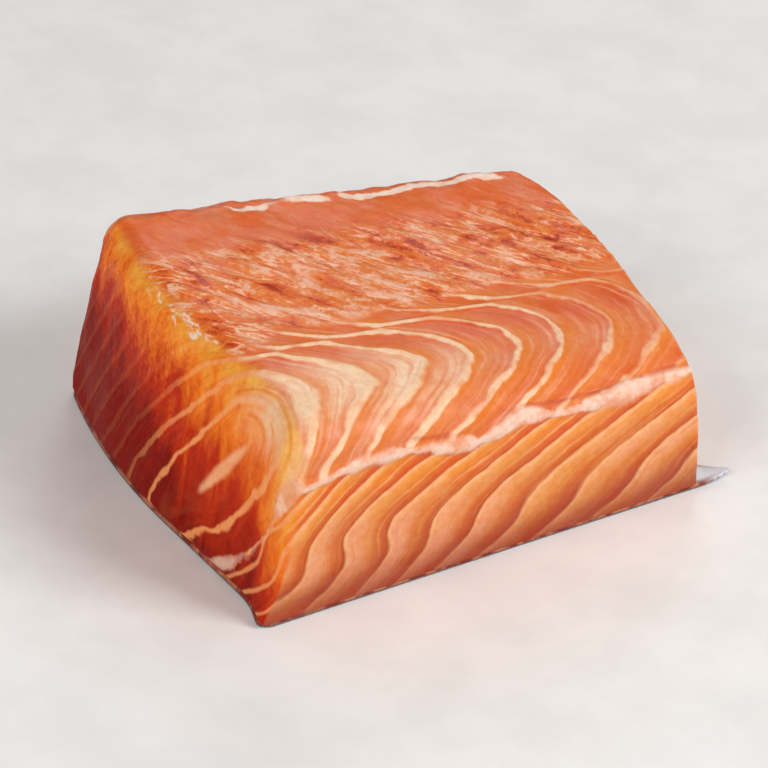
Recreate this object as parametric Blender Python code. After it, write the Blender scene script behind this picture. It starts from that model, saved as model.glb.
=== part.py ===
# Raw salmon fillet portion: a thick block of flesh cut across the fish, lying on its skin.
# Metres, +Z up. X runs along the fish, from the thick cut end to the thin one, and Y runs
# across the fillet. The origin is on the surface that the fillet rests on, under the
# middle of the box around it.

import math

import bmesh
import bpy

MM = 0.001

# Driving sizes, in millimetres
LENGTH = 79.7            # along the fish, at the base of the front face
THICK_END_DEPTH = 67.0   # across the fillet, from the front face to the back one
THIN_END_DEPTH = 60.5    # the same at the thin end
THICK_END_HEIGHT = 33.0  # top of the flesh at the thick cut end
THIN_END_HEIGHT = 26.6   # top of the flesh at the thin cut end
SKIN_THICKNESS = 1.0
SKIN_GAP = 0.3           # clearance between the skin and the flesh that it carries

# Roundings of the flesh, in millimetres
BASE_RADIUS = 1.2        # along the bottom of the front and back faces
BACK_RADIUS = 5.0        # along the top of the back face
SHOULDER_THICK_END = 4.5  # top of the front face, at the thick end
SHOULDER_THIN_END = 9.0   # the same at the thin end
END_RADIUS = 1.6         # edges of the two cut ends

# How far the faces stray from a plain block, in millimetres
CROWN_HEIGHT = 0.9       # swelling of the top behind the shoulder, at the thick end
CROWN_PLACE = 16.0       # how far behind the front face that swelling peaks
CROWN_WIDTH = 12.0
FRONT_BULGE = 1.0        # outward swelling of the front face at mid height
BACK_BULGE = 1.4
THICK_END_LEAN = 3.2     # how far the top of the thick end stands in from its base
THICK_LEAN_RUN = (-4.0, 12.0)  # the lean grows between these distances from the front
THICK_END_SWEEP = 6.4    # how far the back of the thick end curves in
SWEEP_START = 0.44       # share of the depth where that curve begins
THICK_END_FOOT = 2.1     # how far its front corner spreads at the base
FOOT_SIZE = 4.5          # and how soon that dies away
THIN_END_LEAN = 5.6      # lean of the thin end, at the front
THIN_BACK_LEAN = 0.25    # share of it that is left towards the back
THIN_LEAN_RUN = 45.0     # distance from the front over which it fades to that
THIN_END_SKEW = 0.12     # slant of the thin end's base in plan
THIN_CORNER_RUN = 13.0   # length over which the thin end's back corner turns in
THIN_CORNER_DROP = 4.5   # and by how much

# Skin flap left at the front corner of the thin end, in millimetres
FLAP_REACH = 6.2         # past the flesh
FLAP_FALLOFF = 3.4       # distance over which it narrows towards the back
FLAP_TAPER = 1.4         # how sharply it does so
FLAP_LIFT = 0.9          # height of its free tip above the surface
FLAP_CURL = 1.5          # how late along the flap that lift comes
SKIN_CORNER_RADIUS = 2.0
SKIN_MARGIN = 1.1        # how far the skin shows beyond the flesh along the thin end
MARGIN_RUN = 24.0        # distance from the back over which that margin grows

# Mesh density
SECTION_STEP = 3.6       # spacing of points along the faces of a cross-section
STATION_COUNT = 26       # cross-sections between the two ends
END_ARC_STEPS = 2        # steps in the rounding of a cut end
END_RING_COUNT = 7       # rings that close a cut end
SKIN_CELLS = (20, 15)    # cells of the skin, along and across


def mix(a, b, t):
    return a + (b - a) * t


def smooth_step(low, high, value):
    t = min(max((value - low) / (high - low), 0.0), 1.0)
    return t * t * (3.0 - 2.0 * t)


def top_height(along, y):
    """Height of the top, with `along` from 0 at the thick end to 1 at the thin one."""
    swelling = math.exp(-((y - CROWN_PLACE) / CROWN_WIDTH) ** 2)
    crown = CROWN_HEIGHT * (1.0 - along) * swelling
    return mix(THICK_END_HEIGHT, THIN_END_HEIGHT, along) + crown


def thick_end(y, z):
    """X of the thick cut end: it leans in towards the top and curves in at the back."""
    rise = z / THICK_END_HEIGHT
    lean = THICK_END_LEAN * rise * smooth_step(*THICK_LEAN_RUN, y)
    foot = THICK_END_FOOT * math.exp(-(y * y + z * z) / FOOT_SIZE ** 2)
    behind = max(0.0, y / THICK_END_DEPTH - SWEEP_START) / (1.0 - SWEEP_START)
    return lean - foot + THICK_END_SWEEP * behind ** 2


def thin_end(y, z):
    """X of the thin cut end: it leans in at the front and rounds off at the back corner."""
    rise = z / THIN_END_HEIGHT
    kept = mix(1.0, THIN_BACK_LEAN, smooth_step(0.0, THIN_LEAN_RUN, y))
    lean = THIN_END_LEAN * rise * kept
    corner = max(0.0, y - (THIN_END_DEPTH - THIN_CORNER_RUN)) / THIN_CORNER_RUN
    return LENGTH + THIN_END_SKEW * y - lean - THIN_CORNER_DROP * corner ** 2


def depth_at(along):
    return mix(THICK_END_DEPTH, THIN_END_DEPTH, along)


def arc(centre_y, centre_z, radius, start, end, steps):
    """Points on an arc in the Y-Z plane, angles in degrees, both ends included."""
    points = []
    for i in range(steps + 1):
        angle = math.radians(mix(start, end, i / steps))
        points.append((centre_y + radius * math.cos(angle), centre_z + radius * math.sin(angle)))
    return points


def straight(start, end, steps):
    """Points between two corners of the section, both ends left out."""
    return [(mix(start[0], end[0], i / steps), mix(start[1], end[1], i / steps))
            for i in range(1, steps)]


def cross_section(along):
    """Closed outline of the flesh, (y, z) in millimetres, from the base of the front face."""
    bottom = SKIN_THICKNESS + SKIN_GAP
    # The outline is a rounded rectangle of the thick end's height, which is then fitted
    # to the height that the fillet really has at each point.
    top = THICK_END_HEIGHT
    depth = depth_at(along)
    shoulder = mix(SHOULDER_THICK_END, SHOULDER_THIN_END, along)
    corners = (
        arc(BASE_RADIUS, bottom + BASE_RADIUS, BASE_RADIUS, 270, 180, 2),
        arc(shoulder, top - shoulder, shoulder, 180, 90, 4),
        arc(depth - BACK_RADIUS, top - BACK_RADIUS, BACK_RADIUS, 90, 0, 3),
        arc(depth - BASE_RADIUS, bottom + BASE_RADIUS, BASE_RADIUS, 0, -90, 2),
    )
    lengths = (top - bottom, THICK_END_DEPTH, top - bottom, THICK_END_DEPTH)
    outline = []
    for i, corner in enumerate(corners):
        following = corners[(i + 1) % len(corners)]
        steps = round(lengths[i] / SECTION_STEP)
        outline += corner + straight(corner[-1], following[0], steps)

    shaped = []
    for y, z in outline:
        share = (z - bottom) / (top - bottom)
        z = mix(bottom, top_height(along, y), share)
        swelling = math.sin(math.pi * share)
        front_share = 1.0 - y / depth
        y += swelling * mix(BACK_BULGE, -FRONT_BULGE, front_share)
        shaped.append((y, z))
    return shaped


def shrink(outline, inset, share=1.0):
    """The outline drawn in by `inset` on every side, and then scaled to `share` of that."""
    ys = [y for y, z in outline]
    zs = [z for y, z in outline]
    middle = ((min(ys) + max(ys)) / 2.0, (min(zs) + max(zs)) / 2.0)
    half = ((max(ys) - min(ys)) / 2.0, (max(zs) - min(zs)) / 2.0)
    factor = [share * (1.0 - inset / half[k]) for k in (0, 1)]
    return [(mix(middle[0], y, factor[0]), mix(middle[1], z, factor[1])) for y, z in outline]


def end_rings(along, face, inward):
    """Rings of one cut end, from its middle out to where the block's sides begin.

    `face` gives the end's X at (y, z), and `inward` is +1 or -1 along X into the flesh.
    """
    outline = cross_section(along)
    rings = []
    for i in range(END_RING_COUNT):
        share = (i + 1) / (END_RING_COUNT + 1)
        rings.append([(face(y, z), y, z) for y, z in shrink(outline, END_RADIUS, share)])
    for i in range(END_ARC_STEPS + 1):
        angle = math.radians(90.0 * i / (END_ARC_STEPS + 1))
        inset = END_RADIUS * (1.0 - math.sin(angle))
        sunk = END_RADIUS * (1.0 - math.cos(angle)) * inward
        rings.append([(face(y, z) + sunk, y, z) for y, z in shrink(outline, inset)])
    return rings


def flesh_rings():
    rings = end_rings(0.0, thick_end, 1.0)
    for i in range(STATION_COUNT + 1):
        along = i / STATION_COUNT
        ring = []
        for y, z in cross_section(along):
            near = thick_end(y, z) + END_RADIUS
            far = thin_end(y, z) - END_RADIUS
            ring.append((mix(near, far, along), y, z))
        rings.append(ring)
    rings += reversed(end_rings(1.0, thin_end, -1.0))
    return rings


def loft(rings):
    """A closed mesh through rings of equal length, each end closed by a fan of triangles."""
    mesh = bmesh.new()
    rows = [[mesh.verts.new(point) for point in ring] for ring in rings]
    count = len(rings[0])
    for row, following in zip(rows, rows[1:]):
        for i in range(count):
            j = (i + 1) % count
            mesh.faces.new((row[i], row[j], following[j], following[i]))
    for row in (rows[0], rows[-1]):
        middle = mesh.verts.new([sum(v.co[k] for v in row) / count for k in range(3)])
        for i in range(count):
            mesh.faces.new((row[i], row[(i + 1) % count], middle))
    bmesh.ops.recalc_face_normals(mesh, faces=mesh.faces[:])
    return mesh


def skin_point(u, v):
    """Plan position of the skin, with u along and v across, both from -1 to 1."""
    reach = max(abs(u), abs(v))
    core = 1.0 - SKIN_CORNER_RADIUS / (THIN_END_DEPTH / 2.0)
    over = [max(0.0, abs(c) - core) for c in (u, v)]
    if min(over) > 0.0:
        # The corner of the square becomes a quarter circle
        scale = (reach - core) / math.hypot(*over)
        u = math.copysign(core + over[0] * scale, u)
        v = math.copysign(core + over[1] * scale, v)
    along = (u + 1.0) / 2.0
    y = depth_at(along) * (1.0 + v) / 2.0
    edge = thin_end(y, 0.0) + SKIN_MARGIN * smooth_step(0.0, MARGIN_RUN, THIN_END_DEPTH - y)
    flap = FLAP_REACH * math.exp(-(y / FLAP_FALLOFF) ** FLAP_TAPER)
    x = mix(thick_end(y, 0.0), edge + flap, along)
    past_flesh = max(0.0, x - edge)
    lift = FLAP_LIFT * (past_flesh / FLAP_REACH) ** FLAP_CURL
    return x, y, lift


def skin_mesh():
    """A sheet of even thickness under the flesh, flat but for the flap's raised tip."""
    cells_u, cells_v = SKIN_CELLS
    mesh = bmesh.new()
    layers = []
    for bottom in (0.0, SKIN_THICKNESS):
        grid = []
        for i in range(cells_u + 1):
            row = []
            for j in range(cells_v + 1):
                # Cells crowd towards the thin end and the front, where the flap is
                u = 2.0 * math.sin(0.5 * math.pi * i / cells_u) - 1.0
                v = 1.0 - 2.0 * math.cos(0.5 * math.pi * j / cells_v)
                x, y, lift = skin_point(u, v)
                row.append(mesh.verts.new((x, y, bottom + lift)))
            grid.append(row)
        layers.append(grid)

    for grid in layers:
        for i in range(cells_u):
            for j in range(cells_v):
                mesh.faces.new((grid[i][j], grid[i + 1][j], grid[i + 1][j + 1], grid[i][j + 1]))

    rim = [(i, 0) for i in range(cells_u)]
    rim += [(cells_u, j) for j in range(cells_v)]
    rim += [(i, cells_v) for i in range(cells_u, 0, -1)]
    rim += [(0, j) for j in range(cells_v, 0, -1)]
    lower, upper = layers
    for (i, j), (k, m) in zip(rim, rim[1:] + rim[:1]):
        mesh.faces.new((lower[i][j], lower[k][m], upper[k][m], upper[i][j]))
    bmesh.ops.recalc_face_normals(mesh, faces=mesh.faces[:])
    return mesh


def principled(name, colour, roughness, subsurface, coat):
    material = bpy.data.materials.new(name)
    material.use_nodes = True
    shader = material.node_tree.nodes["Principled BSDF"]
    shader.inputs["Base Color"].default_value = (*colour, 1.0)
    shader.inputs["Roughness"].default_value = roughness
    shader.inputs["Metallic"].default_value = 0.0
    shader.inputs["Subsurface Weight"].default_value = subsurface
    shader.inputs["Subsurface Scale"].default_value = 3.0 * MM
    shader.inputs["Coat Weight"].default_value = coat
    material.diffuse_color = (*colour, 1.0)
    return material


def add_piece(name, mesh, material, centre):
    """Put a bmesh drawn in millimetres into the scene as an object in metres."""
    bmesh.ops.translate(mesh, verts=mesh.verts[:], vec=(-centre[0], -centre[1], 0.0))
    bmesh.ops.scale(mesh, verts=mesh.verts[:], vec=(MM, MM, MM))
    data = bpy.data.meshes.new(name)
    mesh.to_mesh(data)
    mesh.free()
    data.shade_smooth()
    data.set_sharp_from_angle(angle=math.radians(50.0))
    data.materials.append(material)
    piece = bpy.data.objects.new(name, data)
    bpy.context.scene.collection.objects.link(piece)
    return piece


def plan_middle(meshes):
    """Middle, in plan, of the box around all the pieces."""
    points = [v.co for mesh in meshes for v in mesh.verts]
    return [(min(p[k] for p in points) + max(p[k] for p in points)) / 2.0 for k in (0, 1)]


def main():
    for item in list(bpy.data.objects):
        bpy.data.objects.remove(item, do_unlink=True)

    flesh = loft(flesh_rings())
    skin = skin_mesh()
    centre = plan_middle((flesh, skin))
    flesh_finish = principled("salmon flesh", (0.78, 0.22, 0.08), 0.35, 0.3, 0.4)
    skin_finish = principled("salmon skin", (0.52, 0.54, 0.56), 0.3, 0.0, 0.3)
    add_piece("flesh", flesh, flesh_finish, centre)
    add_piece("skin", skin, skin_finish, centre)


main()
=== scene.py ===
import math

import bpy
import numpy as np
from mathutils import Matrix, Vector


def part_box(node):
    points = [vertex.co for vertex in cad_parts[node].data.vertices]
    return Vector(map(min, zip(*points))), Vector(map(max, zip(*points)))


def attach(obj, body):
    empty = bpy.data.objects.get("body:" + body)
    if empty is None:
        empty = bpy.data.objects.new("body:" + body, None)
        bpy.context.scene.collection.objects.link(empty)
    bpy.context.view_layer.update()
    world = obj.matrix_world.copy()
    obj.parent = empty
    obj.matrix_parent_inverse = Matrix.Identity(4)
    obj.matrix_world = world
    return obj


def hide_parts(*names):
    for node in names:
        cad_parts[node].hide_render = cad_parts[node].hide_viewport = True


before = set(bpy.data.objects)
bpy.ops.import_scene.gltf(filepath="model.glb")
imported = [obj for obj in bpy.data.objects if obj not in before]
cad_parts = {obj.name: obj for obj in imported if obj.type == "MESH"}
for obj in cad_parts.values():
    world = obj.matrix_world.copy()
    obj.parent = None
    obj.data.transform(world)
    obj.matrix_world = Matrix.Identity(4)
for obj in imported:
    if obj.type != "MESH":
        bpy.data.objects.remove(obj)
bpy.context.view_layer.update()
fleshLow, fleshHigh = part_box("flesh")
skinLow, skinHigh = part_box("skin")
perMetre = 1000.0  # the fillet is shaped in millimetres and scaled to metres at the end
fleshLength = round((fleshHigh.x - fleshLow.x) * perMetre)
print("stage 1: packed fillet loaded, its flesh", fleshLength, "mm long")


def mix(a, b, share):
    return a + (b - a) * share


def smoothStep(start, end, value):
    share = np.clip((value - start) / (end - start), 0.0, 1.0)
    return share * share * (3.0 - 2.0 * share)


def around(value, centre, reach):
    # 1 at the centre, falling away softly on both sides
    return np.exp(-(((value - centre) / reach) ** 2))


def lumps(points, size, seed):
    # smooth random field from -1 to 1 with bumps about one size across
    table = np.random.default_rng(seed).uniform(-1.0, 1.0, 4096)
    spot = points / np.asarray(size, float) + 500.0
    cell = np.floor(spot).astype(np.int64)
    part = spot - cell
    part = part * part * (3.0 - 2.0 * part)
    total = np.zeros(len(points))
    for corner in np.ndindex(2, 2, 2):
        key = (cell + corner) @ np.array([73856093, 19349663, 83492791])
        weight = np.abs(1.0 - np.array(corner) - part).prod(axis=1)
        total += table[key % 4096] * weight
    return total


def roughness3(points, size, seed):
    # three sizes of lumps added up, still about -1 to 1
    size = np.asarray(size, float)
    return (
        lumps(points, size, seed)
        + 0.5 * lumps(points, size / 2.1, seed + 1)
        + 0.25 * lumps(points, size / 4.3, seed + 2)
    ) / 1.4


# Sizes of the block in millimetres, measured from its front corner at the thick end.
block = {
    "length": 79.7,
    "thickEndDepth": 67.0,
    "thinEndDepth": 60.5,
    "thickEndHeight": 33.0,
    "thinEndHeight": 26.6,
    "baseHeight": 0.6,  # sunk a little into the skin, so that no gap shows
    "baseRadius": 0.5,
    "backRadius": 5.0,
    "shoulderThickEnd": 4.5,
    "shoulderThinEnd": 9.0,
    "endRadius": 0.9,
    "thickEndRadius": 5.0,  # softer at the top and front of the thick end
    "crownHeight": 0.9,
    "crownPlace": 16.0,
    "crownWidth": 12.0,
    "frontBulge": 1.0,
    "backBulge": 1.4,
    "thickEndLean": 3.2,  # how far its top leans in
    "thickEndSweep": 6.4,  # how far it turns in towards the back
    "footFlare": 2.1,  # how far the front corner's foot spreads out
    "footFlareReach": 4.5,
    "thinEndLean": 5.6,
    "thinEndSkew": 0.12,
    "thinEndBackCorner": 4.5,
    "looseTip": 86.0,  # how far along the skin's loose corner reaches
    "cells": (188, 150, 76),  # grid cells along, across and up
}


def topHeight(along, y):
    height = mix(block["thickEndHeight"], block["thinEndHeight"], along)
    crown = around(y, block["crownPlace"], block["crownWidth"])
    return height + block["crownHeight"] * (1.0 - along) * crown


def thickEnd(y, z):
    lean = block["thickEndLean"] * (z / block["thickEndHeight"]) * smoothStep(-4.0, 12.0, y)
    foot = block["footFlare"] * np.exp(-(y**2 + z**2) / block["footFlareReach"] ** 2)
    sweep = np.maximum(0.0, y / block["thickEndDepth"] - 0.44) / 0.56
    return lean - foot + block["thickEndSweep"] * sweep**2


def thinEnd(y, z):
    lean = block["thinEndLean"] * (z / block["thinEndHeight"])
    lean = lean * mix(1.0, 0.25, smoothStep(0.0, 45.0, y))
    corner = np.maximum(0.0, (y - 47.5) / 13.0)
    skew = block["thinEndSkew"] * y
    return block["length"] + skew - lean - block["thinEndBackCorner"] * corner**2


def depthAt(along):
    return mix(block["thickEndDepth"], block["thinEndDepth"], along)


def roundShare(a, b):
    # how far out a rounded corner lies, as a share of the square one
    most = np.maximum(a, b)
    return np.where(most > 0.0, most / np.maximum(np.hypot(a, b), 1e-9), 1.0)


def roundedBox(along, p, q):
    # along runs 0 to 1; p and q are millimetres across and up inside the square section
    depth, height = depthAt(along), block["thickEndHeight"]
    base, length = block["baseHeight"], block["length"]
    soft = smoothStep(0.12, 0.75, (q - base) / (height - base))
    soft = soft * (1.0 - smoothStep(0.3, 0.6, along))
    radius = mix(block["endRadius"], block["thickEndRadius"], soft)
    fromEnd = np.minimum(along, 1.0 - along) * length
    a = np.clip((radius - fromEnd) / radius, 0.0, 1.0)
    by = np.clip((radius - np.minimum(p, depth - p)) / radius, 0.0, 1.0)
    bz = np.clip((radius - np.minimum(q - base, height - q)) / radius, 0.0, 1.0)
    keep = roundShare(a, np.maximum(by, bz))
    inAlong = np.where(a > 0.0, radius * a * (1.0 - keep) / length, 0.0)
    along = along + np.where(along < 0.5, inAlong, -inAlong)
    inP = radius * by * (1.0 - keep)
    p = p + np.where(p < depth / 2, inP, -inP)
    inQ = radius * bz * (1.0 - keep)
    q = q + np.where(q < (base + height) / 2, inQ, -inQ)
    # then the four long edges, each with its own radius
    shoulder = mix(block["shoulderThickEnd"], block["shoulderThinEnd"], along)
    for front in (True, False):
        for low in (True, False):
            corner = block["baseRadius"] if low else shoulder
            if not low and not front:
                corner = block["backRadius"]
            u = (corner - (p if front else depth - p)) / corner
            v = (corner - (q - base if low else height - q)) / corner
            shift = np.where((u > 0.0) & (v > 0.0), corner * (1.0 - roundShare(u, v)), 0.0)
            shiftP, shiftQ = u * shift, v * shift
            p = p + (shiftP if front else -shiftP)
            q = q + (shiftQ if low else -shiftQ)
    return along, p, q


def blockPoint(along, p, q):
    base = block["baseHeight"]
    depth = depthAt(along)
    share = (q - base) / (block["thickEndHeight"] - base)
    z = mix(base, topHeight(along, p), share)
    bulge = mix(block["backBulge"], -block["frontBulge"], 1.0 - p / depth)
    y = p + np.sin(math.pi * np.clip(share, 0.0, 1.0)) * bulge
    x = mix(thickEnd(y, z), thinEnd(y, z), along)
    return np.stack([x, y, z], axis=1)


def boxGrid(cells):
    # lattice points and squares on the five open sides of a box, then the base strips
    nx, ny, nz = cells

    def side(u, v, toPoint):
        i, j = np.indices((u, v)).reshape(2, -1)
        corners = [toPoint(i + a, j + b) for a, b in ((0, 0), (1, 0), (1, 1), (0, 1))]
        return np.stack([np.stack(np.broadcast_arrays(*c), axis=-1) for c in corners], 1)

    quads = np.concatenate([
        side(nx, nz, lambda i, k: (i, 0 * i, k)),
        side(nx, nz, lambda i, k: (nx - i, 0 * i + ny, k)),
        side(nx, ny, lambda i, j: (i, j, 0 * i + nz)),
        side(ny, nz, lambda j, k: (0 * j, ny - j, k)),
        side(ny, nz, lambda j, k: (0 * j + nx, j, k)),
    ])
    keys = (quads[..., 0] * (ny + 1) + quads[..., 1]) * (nz + 1) + quads[..., 2]
    unique, faces = np.unique(keys, return_inverse=True)
    faces = faces.reshape(-1, 4)
    lattice = np.stack([
        unique // ((ny + 1) * (nz + 1)),
        unique // (nz + 1) % (ny + 1),
        unique % (nz + 1),
    ], axis=1)
    place = {int(key): number for number, key in enumerate(unique)}

    def at(i, j):
        return place[(i * (ny + 1) + j) * (nz + 1)]

    # the outline of each end is curved, so its base face reaches a few cells in
    inset = 12
    strips = [
        [at(i, 0), at(i, ny), at(i + 1, ny), at(i + 1, 0)] for i in range(inset, nx - inset)
    ]
    strips.append(
        [at(0, j) for j in range(ny + 1)]
        + [at(i, ny) for i in range(1, inset + 1)]
        + [at(i, 0) for i in range(inset, 0, -1)]
    )
    strips.append(
        [at(nx, j) for j in range(ny, -1, -1)]
        + [at(i, 0) for i in range(nx - 1, nx - inset - 1, -1)]
        + [at(i, ny) for i in range(nx - inset, nx)]
    )
    return lattice, faces, strips


def gridNormals(points, faces):
    cross = np.cross(
        points[faces[:, 2]] - points[faces[:, 0]], points[faces[:, 3]] - points[faces[:, 1]]
    )
    normals = np.zeros_like(points)
    for corner in range(faces.shape[1]):
        np.add.at(normals, faces[:, corner], cross)
    return normals / np.maximum(np.linalg.norm(normals, axis=1), 1e-9)[:, None]


# The sheets of fat between the flakes. Each field below counts them: it is a whole number
# on a sheet and rises by one to the next.
sheets = {
    # how high the seam lies along the front: each point is along, up
    "seamLine": (
        (0, 23.2), (5, 24.2), (11, 25.2), (18, 25.1), (25, 24.2), (33, 22.8), (38, 24.0),
        (42, 24.8), (49, 23.5), (56, 23.2), (62, 23.7), (68, 24.5), (80, 24.3),
    ),
    "seamDrop": 24.0,  # how far it sinks towards the back
    "seamDropRun": 8.0,
    # its thick pale lumps: the middle of each and half its length
    "seamPatches": ((0.2, 1.8), (15.0, 5.5), (29.0, 4.5), (40.0, 5.5), (59.5, 6.0), (69.0, 4.5)),
    "coneStart": (18.4, 18.9),  # across and up, where the nested cones start
    "coneDrift": (-0.274, 0.444),  # how far that moves across and up for each millimetre along
    "coneTilt": 0.66,
    "coneSpacing": (2.0, 0.87),
    "coneSlopes": (0.206, 0.223),
    "coneSoft": 2.8,
    "coneStretch": (0.089, 0.066),  # how tightly the rings lie, at the front and further in
    "fanLine": (19.1, 0.06),  # across the top, where the sheets fan out
    "fanReach": (4.0, 0.5),
    "fanCount": 0.305,
    "upperStart": -1.47,
    "lowerSpacing": (5.8, 0.31),
    "lowerSlant": 0.18,
    "lowerInward": 0.22,
    "lowerKnee": 0.46,
    "lowerKneeHeight": (10.7, -0.05),
    "lowerKneeRun": 3.8,
    "lowerStart": 1.2,
}


def countBy(x, spacing):
    # sheets lie closest at the thick end and further apart along the block
    first, growth = spacing
    x = np.maximum(x, -4.0)
    return (-first + np.sqrt(first**2 + 4.0 * growth * np.maximum(x, -0.2))) / (2.0 * growth)


def upperSheets(points):
    # nested cones lying on their side, which fan out over the top
    x, y, z = points.T
    across, up = sheets["coneStart"]
    acrossDrift, upDrift = sheets["coneDrift"]
    offY = y - (across + acrossDrift * x)
    offZ = z - (up + upDrift * x)
    n0, n1 = math.cos(sheets["coneTilt"]), math.sin(sheets["coneTilt"])
    over, alongCone = offY * n0 + offZ * n1, offY * n1 - offZ * n0
    front, back = sheets["coneSlopes"]
    soft = sheets["coneSoft"]
    middle = 0.5 * (front + back)
    slope = middle + 0.5 * (back - front) * over / np.sqrt(over**2 + soft**2)
    tight, loose = sheets["coneStretch"]
    stretched = mix(tight, loose, smoothStep(0.0, 10.0, alongCone))
    ring = np.sqrt((over * slope) ** 2 + (stretched * alongCone) ** 2 + (soft * middle) ** 2)
    fanPlace, fanDrift = sheets["fanLine"]
    wide, narrow = sheets["fanReach"]
    fanWidth = mix(wide, narrow, smoothStep(8.0, 24.0, z) * smoothStep(2.5, 8.0, x))
    fan = sheets["fanCount"] * (1.0 + np.tanh((y - fanPlace - fanDrift * x) / fanWidth))
    return countBy(x, sheets["coneSpacing"]) + ring + fan + sheets["upperStart"]


def lowerSheets(points):
    # slanted sheets with a bend halfway up
    x, y, z = points.T
    kneeHeight, kneeDrift = sheets["lowerKneeHeight"]
    up = z - (kneeHeight + kneeDrift * x)
    knee = sheets["lowerKnee"] * (1.0 + 0.8 * around(x, 15.0, 13.4))
    bend = sheets["lowerSlant"] * up - knee * np.tanh(up / sheets["lowerKneeRun"])
    bend *= 1.0 + 0.47 * np.exp(-np.maximum(x, 0.0) / 3.0)
    count = countBy(x + sheets["lowerStart"], sheets["lowerSpacing"])
    return count - bend - sheets["lowerInward"] * (y + 0.8)


def seamGap(points, onCut):
    # how far a point is above the seam between the two sets of flakes
    x, y, z = points.T
    inward = np.maximum(y, 0.0) / sheets["seamDropRun"]
    drop = sheets["seamDrop"] * (1.0 - np.exp(-(inward**1.3)))
    steep = 5.8 * inward**0.3 * np.exp(-(inward**1.3))
    line = np.array(sheets["seamLine"], float)
    height = np.interp(x, line[:, 0], line[:, 1]) - drop
    return (z - height) / np.sqrt(1.0 + (steep * onCut) ** 2)


def steepness(field, points, outward, step=0.05):
    # how many sheets a millimetre of the surface crosses
    slope = np.zeros_like(points)
    for axis in range(3):
        offset = np.zeros(3)
        offset[axis] = step
        slope[:, axis] = (field(points + offset) - field(points - offset)) / (2.0 * step)
    slope -= outward * (slope * outward).sum(axis=1)[:, None]
    return np.linalg.norm(slope, axis=1)


# Heights of the relief in millimetres.
relief = {
    "flakeStep": 0.34,
    "seamRidge": 0.75,
    "seamGroove": 0.22,
    "hookRidge": 0.26,
    "cutLine": 0.07,
    "tornDepth": 0.55,
    "rimLumps": 0.55,
    "softWaves": 0.35,
}

lattice, gridFaces, baseFaces = boxGrid(block["cells"])
counts = np.array(block["cells"], float)
alongShare = lattice[:, 0] / counts[0]
acrossShare = lattice[:, 1] / counts[1]
upShare = lattice[:, 2] / counts[2]
rectP = acrossShare * depthAt(alongShare)
rectQ = mix(block["baseHeight"], block["thickEndHeight"], upShare)
roundAlong, roundP, roundQ = roundedBox(alongShare, rectP, rectQ)
smoothBlock = blockPoint(roundAlong, roundP, roundQ)
normals = gridNormals(smoothBlock, gridFaces)
x, y, z = smoothBlock.T
nx, ny, nz = normals.T

frontSide = smoothStep(0.15, 0.65, -ny)
topSide = smoothStep(0.25, 0.8, nz)
thickCut = smoothStep(0.35, 0.75, -nx)
thinCut = smoothStep(0.35, 0.75, nx)
cutEnd = np.maximum(thickCut, thinCut)

# a pale spindle of fat at the heart of the rings on the thick cut
spindle = {"start": (12.5, 24.0), "end": (23.2, 9.0), "halfWidth": 0.92, "waver": 0.25}
spindleRun = np.array(spindle["end"]) - np.array(spindle["start"])
spindleLength = np.linalg.norm(spindleRun)
offset = np.stack([y, z], axis=1) - np.array(spindle["start"])
spindleShare = offset @ spindleRun / spindleLength**2
spindleOff = np.abs(offset @ np.array([-spindleRun[1], spindleRun[0]])) / spindleLength
spindleRound = np.clip(np.sin(math.pi * np.clip(spindleShare, 0, 1) ** 0.9), 0, 1) ** 0.8
spindleWidth = spindle["halfWidth"] * spindleRound
spindleWidth += spindle["waver"] * roughness3(smoothBlock, (2.5, 2.5, 2.5), 101)
deepStreak = thickCut * smoothStep(0.5, -0.4, spindleOff - spindleWidth)
deepStreak *= smoothStep(0.0, 0.12, spindleShare) * smoothStep(1.0, 0.88, spindleShare)

# where pale fat and a painted sheen make the bends of the upper flakes pale
paleFatAndSheen = 1.25 * around(y, 8.5, 7.0) * smoothStep(-1.0, 5.0, x)
paleFatAndSheen *= 1.0 - 0.85 * smoothStep(20.0, 46.0, x)
warmBack = around(y, 16.5, 3.2) * smoothStep(3.0, 9.0, x)
# the lines on the thick cut grow faint towards its rear, those on top towards the thin end
rearFade = smoothStep(27.0, 40.0, y + 0.35 * (z - 15.0))
lineFade = 1.0 - 0.5 * smoothStep(52.0, 68.0, x) * (1.0 - thinCut)

upper = upperSheets(smoothBlock)
lower = lowerSheets(smoothBlock)
upper += 0.12 * roughness3(smoothBlock, 6.0, 11) * (1.0 - 0.5 * thickCut)
lower += 0.07 * roughness3(smoothBlock, 8.0, 21)
# the innermost ring would repeat as a small loop, so the count is held back inside it
heldBack = np.where(upper < 0.5, 0.33, 1.0)
upper = 0.5 + (upper - 0.5) * heldBack
upperSteep = np.maximum(steepness(upperSheets, smoothBlock, normals) * heldBack, 0.02)
lowerSteep = np.maximum(steepness(lowerSheets, smoothBlock, normals), 0.02)
gap = seamGap(smoothBlock, cutEnd) + 0.45 * roughness3(smoothBlock, 3.4, 31)
# the seam is a string of pale lumps, thick here and thin there
seamBody = np.zeros(len(x))
for centre, half in sheets["seamPatches"]:
    seamBody = np.maximum(seamBody, smoothStep(1.25, 0.55, np.abs(x - centre) / half))
seamBody = 0.5 + 0.45 * seamBody + 0.14 * roughness3(smoothBlock, (2.6, 2.6, 9.0), 111)
# on the thick cut it is a pale lump at the corner, a thin line, then wider again at the foot
onCut = 0.22 + 0.9 * around(y, 1.0, 3.2) * around(z, 22.5, 3.0)
onCut += 0.5 * around(y, 14.0, 3.5) * around(z, 3.5, 4.5)
onShoulder = 1.0 + 0.8 * smoothStep(53.0, 63.0, x)  # the rounded shoulder squeezes the seam there
seamBody = mix(np.clip(seamBody, 0.15, 1.1) * onShoulder, onCut, thickCut)
isUpper = smoothStep(-0.25, 0.25, gap)
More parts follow.
